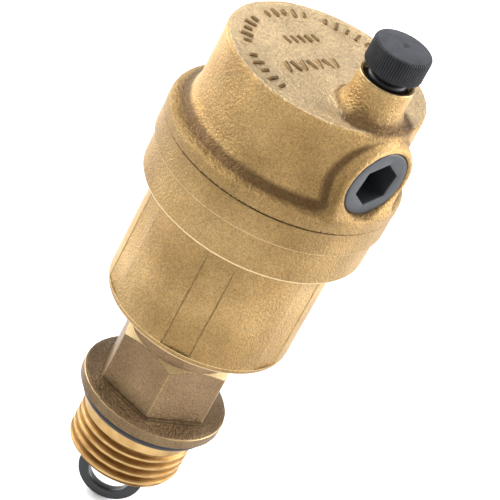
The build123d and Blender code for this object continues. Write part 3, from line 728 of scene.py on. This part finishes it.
def cover_shapes(p):
    """Distances to the drum, flange, boss and chimney, then to the first two, the first three
    and all four of them joined by fillets."""
    drum_edge, flange_edge, boss_edge, chimney_edge = 0.55, 0.95, 0.75, 0.05
    flange_fillet, boss_fillet, chimney_fillet = 4.2, 2.6, 2.2
    foot_z, chimney_low_z = SEAM_Z - 4, 70
    x, y, z = np.moveaxis(p, -1, 0)
    rho = np.hypot(x, y)
    dish = TOP_DISH * np.clip((TOP_DISH_R - rho) / 0.5, 0, 1)
    drum = cylinder(rho, z + dish, DRUM_R, foot_z, DRUM_TOP_Z, drum_edge)
    flange = cylinder(rho, z, COVER_R, foot_z, FLANGE_TOP_Z, flange_edge)
    boss = round_box(arch(y, z), np.abs(x - BOSS_FACE_X / 2) - BOSS_FACE_X / 2, boss_edge)
    taper = np.clip((z - DRUM_TOP_Z) / CHIMNEY_FOOT_HEIGHT, 0, 1)
    width = CHIMNEY_FOOT_R + (CHIMNEY_R - CHIMNEY_FOOT_R) * taper
    within = np.abs(z - chimney_low_z) - (MOUTH_JOIN_Z - chimney_low_z)
    chimney = round_box(np.hypot(x - CHIMNEY_X, y) - width, within, chimney_edge)
    with_flange = blend_union(drum, flange, flange_fillet)
    above_band = np.clip((z - FLANGE_TOP_Z + 1.6) / 1.8, 0.04, 1)
    with_boss = blend_union(with_flange, boss, boss_fillet * above_band)
    outside = blend_union(with_boss, chimney, chimney_fillet)
    return drum, flange, boss, chimney, with_flange, with_boss, outside


def cover_fillet_shade_and_grime(p):
    """How much painted shade and grime the outer skin takes: 0 on open faces, 1 or a little more in
    its fillets.
    """
    x, y, z = np.moveaxis(p, -1, 0)
    drum, flange, boss, chimney, with_flange, with_boss, outside = cover_shapes(p)
    foot = (np.minimum(drum, flange) - with_flange - 0.26) / 0.52
    beside_boss = (np.minimum(with_flange, boss) - with_boss - 0.15) / 0.34
    round_chimney = (np.minimum(with_boss, chimney) - outside - 0.05) / 0.75
    # painted shade in the saddle between the chimney's foot and the boss's front
    saddle = np.clip((x - 10.0) / 3.0, 0, 1) * np.clip((z - 70.4) / 0.8, 0, 1)
    saddle = saddle * (1.5 - np.abs(np.hypot(x - CHIMNEY_X, y) - 6.3) / 1.2)
    fillet_shade_and_grime = np.maximum.reduce([foot, beside_boss, round_chimney, saddle])
    clear_of_front = np.clip((18.6 - x) / 1.4, 0, 1)
    return clear_of_front * np.clip(fillet_shade_and_grime, 0, 1.3)


def cover_outside(p):
    """Distance to the outer skin, a little wavy as sand castings are, cut off at the joint."""
    wave_height = 0.026
    x, y, z = np.moveaxis(p, -1, 0)
    calm = np.clip((MOUTH_JOIN_Z - 0.6 - z) / 0.6, 0, 1)
    waves = (np.sin(0.83 * x + 0.4 * z) + np.sin(0.71 * y - 0.52 * z + 1.3)
             + 0.8 * np.sin(1.9 * x - 1.3 * y + 1.7 * z)
             + 0.6 * np.sin(3.1 * x + 2.3 * z) * np.sin(2.9 * y - 1.9 * z))
    within_rim = np.hypot(x, y) < COVER_R - 0.4
    skin = cover_shapes(p)[-1] + wave_height * calm * waves * within_rim
    return np.maximum(skin, SEAM_Z + 0.05 - z)


def cover_distance(p):
    """Signed distance, in mm, to the whole cover with its spigot, cavity and bores."""
    x, y, z = np.moveaxis(p, -1, 0)
    rho = np.hypot(x, y)
    from_boss = np.hypot(y, z - BOSS_Z)
    from_chimney = np.hypot(x - CHIMNEY_X, y)
    groove_depth, groove_half = 1.4, 0.8
    groove = round_box(SPIGOT_R - groove_depth - rho, np.abs(z - SPIGOT_GROOVE_Z) - groove_half, 0.1)
    spigot = np.maximum(cylinder(rho, z, SPIGOT_R, SPIGOT_Z, SEAM_Z + 1, 0.15), -groove)
    block = np.maximum(from_boss - SEAT_BLOCK_R, SEAT_BLOCK_X - x)
    above = np.maximum(np.maximum(np.abs(y) - SEAT_BLOCK_R, SEAT_BLOCK_X - x), BOSS_Z - z)
    cavity = np.maximum(cylinder(rho, z, DRUM_INNER_R, SPIGOT_Z - 9, CEILING_Z, 0.6),
                        -np.minimum(block, above))
    shape = np.maximum(np.minimum(cover_outside(p), spigot), -cavity)
    plug_bore = np.maximum(from_boss - PLUG_R - 0.06, PLUG_INNER_X - 0.1 - x)
    shape = -blend_union(-shape, plug_bore, 0.6)
    cuts = (
        np.maximum(from_boss - AIR_CHAMBER_R, AIR_CHAMBER_X - x),
        np.maximum(from_boss - NOZZLE_BORE_R, -x),
        np.maximum(from_chimney - OUTLET_BORE_R, BOSS_Z - z),
        np.maximum(from_chimney - STEM_BORE_R, STEM_Z - 2.0 - z),
    )
    for cut in cuts:
        shape = np.maximum(shape, -cut)
    return shape


def gradient(field, points, step=0.04):
    parts = []
    for axis in range(3):
        shift = np.zeros(3)
        shift[axis] = step
        parts.append((field(points + shift) - field(points - shift)) / (2 * step))
    return np.stack(parts, axis=-1)


def surface_net(field, low, high, cell):
    """Vertices and quads of the zero surface of field, by surface nets on an even grid."""
    axes = [np.arange(low[i], high[i] + cell, cell) for i in range(3)]
    grid = np.stack(np.meshgrid(*axes, indexing="ij"), axis=-1)
    values = np.concatenate([field(slab) for slab in np.array_split(grid, 12)])
    inside = values < 0
    size = np.array(inside.shape)
    corner_sum = np.zeros((*(size - 1), 3))
    crossings = np.zeros(size - 1)
    edges = []
    for axis in range(3):
        near, far = (tuple(part if i == axis else slice(None) for i in range(3))
                     for part in (slice(None, -1), slice(1, None)))
        a, b = values[near], values[far]
        crossed = inside[near] != inside[far]
        base = grid[near].copy()
        base[..., axis] += np.where(crossed, a / np.where(crossed, a - b, 1), 0) * cell
        u, v = (i for i in range(3) if i != axis)
        for du, dv in ((0, 0), (0, 1), (1, 0), (1, 1)):
            part = [slice(None)] * 3
            part[u], part[v] = slice(du, size[u] - 1 + du), slice(dv, size[v] - 1 + dv)
            hit = crossed[tuple(part)]
            corner_sum += np.where(hit[..., None], base[tuple(part)], 0)
            crossings += hit
        edges.append((axis, u, v, crossed, inside[near]))
    used = crossings > 0
    number = np.full(used.shape, -1)
    number[used] = np.arange(used.sum())
    vertices = corner_sum[used] / crossings[used][:, None]
    quads = []
    for axis, u, v, crossed, starts_inside in edges:
        part = [slice(None)] * 3
        part[u], part[v] = slice(1, size[u] - 1), slice(1, size[v] - 1)
        places = np.argwhere(crossed[tuple(part)])
        places[:, [u, v]] += 1
        corners = []
        for du, dv in ((0, 0), (-1, 0), (-1, -1), (0, -1)):
            cells = places.copy()
            cells[:, [u, v]] += (du, dv)
            corners.append(number[tuple(cells.T)])
        quad = np.stack(corners, axis=1)
        outward = starts_inside[tuple(places.T)]
        flip = outward if axis == 1 else ~outward
        quad[flip] = quad[flip][:, ::-1]
        quads.append(quad)
    return vertices, np.concatenate(quads)


def make_cover(materials):
    cell = 0.335
    margin, margin_below, settling_steps, damping = 0.9, 0.93, 4, 0.9
    low = (-COVER_R - margin, -COVER_R - margin, SPIGOT_Z - margin_below)
    high = (COVER_R + margin, COVER_R + margin, MOUTH_JOIN_Z + margin)
    vertices, quads = surface_net(cover_distance, low, high, cell)
    for _ in range(settling_steps):
        slope = gradient(cover_distance, vertices)
        steep = np.maximum((slope ** 2).sum(axis=1), 0.3)
        vertices = vertices - slope * (cover_distance(vertices) / steep)[:, None] * damping
    x, y, z = vertices[quads].mean(axis=1).T
    bored = (np.hypot(y, z - BOSS_Z) < PLUG_R + 0.1) & (x > AIR_CHAMBER_X) & (x < PLUG_FACE_X - 0.7)
    drilled = (np.hypot(x - CHIMNEY_X, y) < 4.0) & (z > CEILING_Z)
    machined = bored | drilled | (z < SEAM_Z + 0.03)
    seam = (z < SEAM_Z + 0.10) & (np.hypot(x, y) > SPIGOT_R)
    finish = np.where(seam, SEAM_AND_SHADE, np.where(machined, MACHINED, CAST))
    cover = finish_mesh("cover_casting", vertices, quads.tolist(), materials, finish.tolist())
    # painted shade and grime in the fillets, for the cast brass to darken
    fillet_shade_and_grime = cover.data.attributes.new("fillet_shade_and_grime", "FLOAT", "POINT")
    fillet_shade_and_grime.data.foreach_set("value", cover_fillet_shade_and_grime(vertices))
    slope = gradient(cover_distance, vertices, 0.10)
    slope /= np.linalg.norm(slope, axis=1)[:, None]
    cover.data.normals_split_custom_set_from_vertices(slope.tolist())
    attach(cover, "housing")
    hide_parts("cover")


def make_chimney_mouth(materials):
    """The top of the outlet chimney: a thin rim round the cap's seal recess."""
    angles = np.linspace(0, 2 * np.pi, 145)[:-1]
    edge, bore = 0.16, 3.0
    low, top = MOUTH_JOIN_Z - 0.5, CHIMNEY_TOP_Z
    outer = CHIMNEY_R + 0.004  # just proud of the skin that it continues
    rim, inner_rim = (CHIMNEY_R - edge, top - edge), (SEAL_RECESS_R + edge, top - edge)
    rows = turned(
        angles,
        (straight((outer, low), (CHIMNEY_R, top - edge - 0.2), 8), CAST),
        (arc_points(rim, edge, 0, 45, 2), WORN),
        # painted highlight, partly wear: a bright line along the rim's top
        (arc_points(rim, edge, 68, 90, 1), RUBBED_HIGHLIGHT),
        (arc_points(inner_rim, edge, 90, 180, 4), WORN),
        # painted light on the recess wall
        (straight((SEAL_RECESS_R, top - 0.3), (SEAL_RECESS_R, top - 1.3), 4), PALE),
        # painted shade on the recess floor and down the bore
        ([(SEAL_RECESS_R, SEAL_RECESS_Z), (bore, SEAL_RECESS_Z), (bore, low)], SEAM_AND_SHADE),
        centre=(CHIMNEY_X, 0.0))
    mouth = polar_mesh("chimney_mouth", rows, materials, sharp=35, closed=True)
    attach(mouth, "housing")
    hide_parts("cover")


def raised_bar(shape, length, width, angle, x, y):
    """One cast index mark: a bar with rounded edges, set into the top face."""
    height, rounding = 0.62, 0.17
    made = bmesh.ops.create_cube(shape, size=1.0)["verts"]
    scale = Matrix.Diagonal((length * MM, width * MM, height * MM, 1))
    turn = Matrix.Rotation(math.radians(angle), 4, "Z")
    place = Matrix.Translation((x * MM, y * MM, (DRUM_TOP_Z - TOP_DISH) * MM))
    bmesh.ops.transform(shape, matrix=place @ turn @ scale, verts=made)
    edges = list({edge for vertex in made for edge in vertex.link_edges})
    bmesh.ops.bevel(shape, geom=edges, offset=rounding * MM, segments=2, profile=0.6, affect="EDGES")


def make_marks(material):
    """A ring of plain bars and two rows of bars, where castings carry their markings."""
    ring_r, first_angle, step = 14.2, 62, 8
    shape = bmesh.new()
    for k in range(30):
        if k % 6 != 5:
            angle = first_angle + step * k
            x, y = (ring_r * f(math.radians(angle)) for f in (math.cos, math.sin))
            raised_bar(shape, 2.2 if k % 2 else 1.5, 0.65, angle, x, y)
    for k in range(7):
        raised_bar(shape, 2.6, 0.6, 14 if k % 2 else -14, -0.6, 1.8 * k - 8.6)
    for k in range(5):
        raised_bar(shape, 1.9, 0.5, 12, -7.2, 1.6 * k - 3.4)
    mesh = bpy.data.meshes.new("cast_marks")
    shape.to_mesh(mesh)
    shape.free()
    mesh.materials.append(material)
    for polygon in mesh.polygons:
        polygon.use_smooth = True
    marks = add_object("cast_marks", mesh)
    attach(marks, "housing")


# --- seals, plug, cap and stirrup

def make_ring(name, node, body, major, minor, material, centre=None, boss_x=None):
    """An O-ring with its faint mould flash line, about Z at centre, or in the boss at boss_x."""
    around = np.linspace(0, 2 * np.pi, 145)[:-1]
    rows = []
    for angle in np.linspace(0, 2 * np.pi, 25)[:-1]:
        flash = 0.015 * minor if abs(math.sin(angle)) < 0.12 else 0.0
        radius = major + (minor + flash) * math.cos(angle)
        rows.append(ring_row(around, radius, minor * math.sin(angle)))
    ring = polar_mesh(name, rows, [material], sharp=None, closed=True)
    if centre is None:
        lay_along_x(ring, boss_x)
    else:
        ring.data.transform(Matrix.Translation([value * MM for value in centre]))
    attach(ring, body)
    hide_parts(node)


def ridge(phase):
    """Height of a moulded thread, 0 to 1, at a phase of 0 to 1 across its pitch."""
    return np.clip((1 - np.abs(2 * phase - 1) - 0.1) / 0.7, 0, 1)


def make_plug(materials):
    """Socket-headed plug: threaded shank, seal groove and a hexagon socket."""
    corner_angle, flat = 51.6, 3.5
    pitch, thread_depth = 1.5, 0.8
    groove_r, groove_z = 4.87, (0.7, 2.1)
    edge, centre_r = 0.35, 0.02
    angles = np.radians(np.arange(corner_angle, corner_angle + 360, 2.5))
    length = PLUG_FACE_X - PLUG_INNER_X
    socket = flat / np.cos(np.mod(angles - np.radians(corner_angle), np.pi / 3) - np.pi / 6)
    shank = [(centre_r, 0), (PLUG_R - 0.3, 0), (PLUG_R, 0.3), (PLUG_R, groove_z[0]),
             (groove_r, groove_z[0]), (groove_r, groove_z[1]), (PLUG_R, groove_z[1])]
    rows = turned(angles, (shank, 0))
    for z in np.arange(groove_z[1] + 0.6, length - 0.9, 0.08):
        phase = np.mod(z / pitch + angles / (2 * np.pi), 1.0)
        rows.append(ring_row(angles, PLUG_R - thread_depth * (1 - ridge(phase)), z))
    rows += turned(angles, (arc_points((PLUG_R - edge, length - edge), edge, 0, 90, 5), 0))
    rows.append(ring_row(angles, PLUG_R - 0.8, length))
    for wider, depth, index in ((0.22, 0, 0), (0.07, 0.05, 0), (0, 0.2, 0), (0, 0.5, 1), (0, 4.5, 1),
                                (-0.15, 4.7, 1)):
        rows.append(ring_row(angles, socket + wider, length - depth, index))
    rows.append(ring_row(angles, centre_r, length - 5.0, 1))
    plug = polar_mesh("side_plug_moulding", rows, materials, sharp=30)
    lay_along_x(plug, PLUG_INNER_X)
    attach(plug, "plug")
    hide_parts("side_plug")


def make_cap(materials):
    """Knurled vent cap with a domed top, a neck, a seal groove and a threaded stem."""
    ribs, rib_depth = 72, 0.19
    stem_r, thread_depth = 2.95, 0.5
    neck_r, groove_r, groove_half = 3.0, 2.1, 0.72
    edge, dome_rise, centre_r = 0.4, 0.22, 0.02
    head_z = CAP_TOP_Z - 4.5
    groove_z = (CAP_SEAL_Z - groove_half, CAP_SEAL_Z + groove_half)
    side_low, side_high = head_z + 0.2, CAP_TOP_Z - 0.62
    centre = (CHIMNEY_X, 0.0)
    angles = np.linspace(0, 2 * np.pi, ribs * 8 + 1)[:-1]
    knurl = rib_depth * (0.5 - 0.5 * np.cos(ribs * angles)) ** 1.6
    end = [(centre_r, STEM_Z), (stem_r - 0.4, STEM_Z), (stem_r - 0.05, STEM_Z + 0.35)]
    rows = turned(angles, (end, 0), centre=centre)
    for z in np.arange(STEM_Z + 0.45, CAP_SEAL_Z - 1.5, 0.08):
        phase = np.mod(z - angles / (2 * np.pi), 1.0)
        rows.append(ring_row(angles, stem_r - thread_depth * (1 - ridge(phase)), z, 0, centre))
    neck = [(stem_r, CAP_SEAL_Z - 1.4), (stem_r, groove_z[0]), (groove_r, groove_z[0]),
            (groove_r, groove_z[1]), (neck_r - 0.1, groove_z[1]), (neck_r, groove_z[1] + 0.1),
            (neck_r, head_z - 0.15), (neck_r + 0.15, head_z), (neck_r + 0.8, head_z),
            (CAP_R - 0.28, head_z)]
    rows += turned(angles, (neck, 0), centre=centre)
    rows.append(ring_row(angles, CAP_R - 0.10 - 0.6 * knurl, head_z + 0.08, 0, centre))
    for z in np.linspace(side_low, side_high, 6):
        rows.append(ring_row(angles, CAP_R - knurl, z, 0, centre))
    for turn, share in zip(np.radians((20, 45, 70, 90)), (0.9, 0.6, 0.2, 0.0)):
        radius = CAP_R - edge + edge * math.cos(turn) - knurl * share
        rows.append(ring_row(angles, radius, side_high + edge * math.sin(turn), 0, centre))
    dome = [(CAP_R - edge - t * (CAP_R - 1.05), CAP_TOP_Z - dome_rise * (1 - t) ** 2)
            for t in np.linspace(0.1, 1, 10)]
    dimple = [(r, CAP_TOP_Z - depth) for r, depth in ((0.5, 0.10), (0.32, 0.2), (0.15, 0.22))]
    rows += turned(angles, (dome + dimple + [(centre_r, CAP_TOP_Z - 0.22)], 1), centre=centre)
    cap = polar_mesh("vent_cap_moulding", rows, materials, sharp=40)
    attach(cap, "cap")
    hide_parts("vent_cap")


def stirrup_section():
    """The loop's section: a rounded rectangle of (outward, sideways) points."""
    rounding = 0.45
    points = []
    for quarter, (a, b) in enumerate(((1, 1), (-1, 1), (-1, -1), (1, -1))):
        for step in np.linspace(0, 90, 5):
            angle = math.radians(90 * quarter + step)
            points.append((a * (STIRRUP_THICK / 2 - rounding) + rounding * math.cos(angle),
                           b * (STIRRUP_WIDTH / 2 - rounding) + rounding * math.sin(angle)))
    return points


def make_stirrup(material):
    """U-shaped loop of rounded rectangular section on a sleeve inside the nipple."""
    middle = STIRRUP_R - STIRRUP_THICK / 2
    path = [(-middle, z, 0.0) for z in np.linspace(STIRRUP_TOP_Z, STIRRUP_CENTRE_Z, 6)[:-1]]
    for turn in np.radians(np.linspace(0, 180, 33)):
        path.append((-middle * math.cos(turn), STIRRUP_CENTRE_Z - middle * math.sin(turn), turn))
    path += [(middle, z, math.pi) for z in np.linspace(STIRRUP_CENTRE_Z, STIRRUP_TOP_Z, 6)[1:]]
    rows = []
    for x, z, turn in path:
        outward = (-math.cos(turn), -math.sin(turn))
        points = [(x + a * outward[0], b, z + a * outward[1]) for a, b in stirrup_section()]
        rows.append((np.array(points), 0))
    loop = polar_mesh("stirrup_loop", rows, [material], sharp=50)
    around = np.linspace(0, 2 * np.pi, 97)[:-1]
    inner, outer, edge = SLEEVE_INNER_R, INLET_R - 0.03, 0.1
    low, high = SLEEVE_Z
    ring = [(inner, low + edge), (inner + edge, low), (outer - edge, low), (outer, low + edge),
            (outer, high - edge), (outer - edge, high), (inner + edge, high), (inner, high - edge)]
    rows = turned(around, (ring, 0))
    sleeve = polar_mesh("stirrup_sleeve", rows, [material], sharp=50, closed=True)
    for piece in (loop, sleeve):
        piece.data.transform(Matrix.Rotation(math.radians(STIRRUP_TURN), 4, "Z"))
        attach(piece, "housing")
    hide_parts("check_valve_stirrup")
    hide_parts("check_valve_stirrup")


# --- everything together

def dress_inner_pieces(brass, steel, black):
    """Materials for the CAD pieces inside the vent."""
    acetal = moulded_plastic("white_acetal", (0.72, 0.70, 0.64), 0.38)
    polypropylene = moulded_plastic("float_polypropylene", (0.66, 0.64, 0.57), 0.46, 1500, 0.03)
    finishes = (
        (brass, "valve_seat", "shutter_holder"),
        (steel, "lever_bracket", "bracket_screws", "lever_pivot_pin", "shutter_spring", "link_pin"),
        (acetal, "valve_lever"),
        (black, "shutter_pad"),
        (polypropylene, "float_shell", "float_base", "float_hook"),
    )
    for material, *nodes in finishes:
        for node in nodes:
            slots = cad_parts[node].data.materials
            slots.clear()
            slots.append(material)


def area_light(name, azimuth, elevation, distance, size, power):
    """A light aimed at the middle of the vent, from that many degrees and metres."""
    middle_z = 0.03
    az, el = math.radians(azimuth), math.radians(elevation)
    flat = distance * math.cos(el)
    place = Vector((flat * math.sin(az), -flat * math.cos(az), middle_z + distance * math.sin(el)))
    data = bpy.data.lights.new(name, "AREA")
    data.shape = "RECTANGLE"
    data.size, data.size_y = size
    data.energy = power
    lamp = add_object(name, data)
    lamp.location = place
    lamp.rotation_euler = (Vector((0, 0, middle_z)) - place).to_track_quat("-Z", "Y").to_euler()


def make_studio():
    bpy.ops.mesh.primitive_plane_add(size=12, location=(0, 0, cad_box[0][2] - 0.2 * MM))
    floor = bpy.context.object
    floor.name = "studio_floor"
    shader = Shader("pale_floor", Roughness=0.75)
    shader.colour(shader.ramp(shader.noise(9, detail=3), (0.3, 0.90), (0.7, 0.94)))
    floor.data.materials.append(shader.material)
    area_light("key", -28, 50, 0.9, (0.45, 0.45), 3.2)
    area_light("top", 20, 86, 0.8, (0.5, 0.5), 1.2)
    area_light("right", 146, 16, 0.8, (0.35, 0.9), 14)
    area_light("left", -76, 14, 0.8, (0.3, 0.9), 13)
    area_light("low right", 100, 4, 0.8, (0.3, 0.22), 1.6)
    world = bpy.data.worlds.new("studio")
    world.use_nodes = True
    background = world.node_tree.nodes["Background"]
    background.inputs["Color"].default_value = (1, 1, 1, 1)
    background.inputs["Strength"].default_value = 0.92
    bpy.context.scene.world = world


def make_camera():
    """Camera above the front right, rolled so that the vent leans to the left."""
    azimuth, elevation, distance, roll = 36.2, 28.906, 431.41, 28.545
    aim_side, aim_z = 2.997, 35.50
    az, el = math.radians(azimuth), math.radians(elevation)
    across = Vector((math.cos(az), math.sin(az), 0))
    outward = Vector((math.sin(az) * math.cos(el), -math.cos(az) * math.cos(el), math.sin(el)))
    place = outward * distance + Vector((0, 0, SEAM_Z))
    aim = across * aim_side + Vector((0, 0, aim_z))
    back = (place - aim).normalized()
    level = Vector((0, 0, 1)).cross(back).normalized()
    upright = back.cross(level)
    turn = math.radians(roll)
    right = level * math.cos(turn) + upright * math.sin(turn)
    up = upright * math.cos(turn) - level * math.sin(turn)
    data = bpy.data.cameras.new("camera")
    data.lens = 190.47
    data.sensor_width = 36
    data.clip_start = 0.05
    camera = add_object("camera", data)
    axes = Matrix((right, up, back)).transposed().to_4x4()
    camera.matrix_world = Matrix.Translation(place * MM) @ axes
    bpy.context.scene.camera = camera


bpy.context.scene.view_settings.view_transform = "Standard"

# the finishes of the castings, in the order of their indices from the cast brass to the thread's
# flanks; the seam brown is partly painted shade, the rubbed and pale brass are partly painted
# highlight, the dark brass is painted shadow and the thread's flanks are painted shade
brass_skins = [
    cast_brass("cast_brass", ((0.222, 0.137, 0.052), (0.305, 0.197, 0.080), (0.395, 0.268, 0.118)),
               (0.63, 0.50, 0.325), (0.075, 0.040, 0.014), 0.44),
    cast_brass("aged_brass", ((0.140, 0.090, 0.048), (0.172, 0.114, 0.062), (0.218, 0.150, 0.084)),
               (0.20, 0.145, 0.088), (0.05, 0.030, 0.014), 0.20),
    machined_brass("machined_brass", (0.28, 0.165, 0.060), (0.45, 0.30, 0.13), 0.34),
    plain_brass("rubbed_highlight_brass", (0.44, 0.31, 0.14), (0.74, 0.56, 0.30), 0.36),
    plain_brass("seam_and_shade_brown", (0.06, 0.037, 0.017), (0.18, 0.12, 0.055), 0.6),
    plain_brass("worn_brass", (0.20, 0.135, 0.062), (0.38, 0.27, 0.13), 0.45),
    plain_brass("pale_brass", (0.45, 0.325, 0.155), (0.62, 0.475, 0.25), 0.6, metallic=0.3),
    plain_brass("painted_shadow_brass", (0.045, 0.029, 0.015), (0.14, 0.092, 0.046), 0.7),
    machined_brass("shaded_flank_brass", (0.20, 0.108, 0.035), (0.33, 0.195, 0.072), 0.46),
]
black = rubber()
make_body(brass_skins)
make_cover(brass_skins)
make_chimney_mouth(brass_skins)
make_marks(plain_brass("marking_brown", (0.12, 0.075, 0.033), (0.27, 0.18, 0.09), 0.55))
# the socket's plastic is a slightly darker copy of the plug's: painted shade in the socket
make_plug([moulded_plastic("plug_grey_plastic", (0.022, 0.025, 0.030), 0.42, gloss=0.27),
           moulded_plastic("plug_socket_shade_plastic", (0.020, 0.022, 0.025), 0.5, gloss=0.35)])
# the cap's top is lighter in colour, painted light, and glossier than its sides
make_cap([cap_plastic("cap_shaded_side_plastic", 0.18, (0.010, 0.0105, 0.012), (0.022, 0.023, 0.026)),
          cap_plastic("cap_lit_top_plastic", 0.46, (0.012, 0.0135, 0.018), (0.034, 0.037, 0.047))])
make_stirrup(moulded_plastic("stirrup_black_plastic", (0.012, 0.014, 0.017), 0.34, gloss=0.4))
make_ring("collar_seal", "collar_o_ring", "housing", SEAL_SEAT_R + COLLAR_SEAL_R + 0.02,
          COLLAR_SEAL_R, black, centre=(0, 0, -COLLAR_SEAL_R - 0.02))
make_ring("cover_seal", "cover_o_ring", "housing", SPIGOT_R - 0.70, 0.68, black,
          centre=(0, 0, SPIGOT_GROOVE_Z))
make_ring("cap_seal_ring", "vent_cap_o_ring", "cap_seal", 2.74, 0.62, black,
          centre=(CHIMNEY_X, 0, CAP_SEAL_Z))
make_ring("plug_seal_ring", "side_plug_o_ring", "plug_seal", 5.49, 0.6, black,
          boss_x=PLUG_INNER_X + 1.4)
make_ring("seat_seal_ring", "valve_seat_o_ring", "housing", 2.67, 0.43, black,
          boss_x=AIR_CHAMBER_X + 0.45)
dress_inner_pieces(brass_skins[MACHINED], bright_steel(), black)
make_studio()
make_camera()
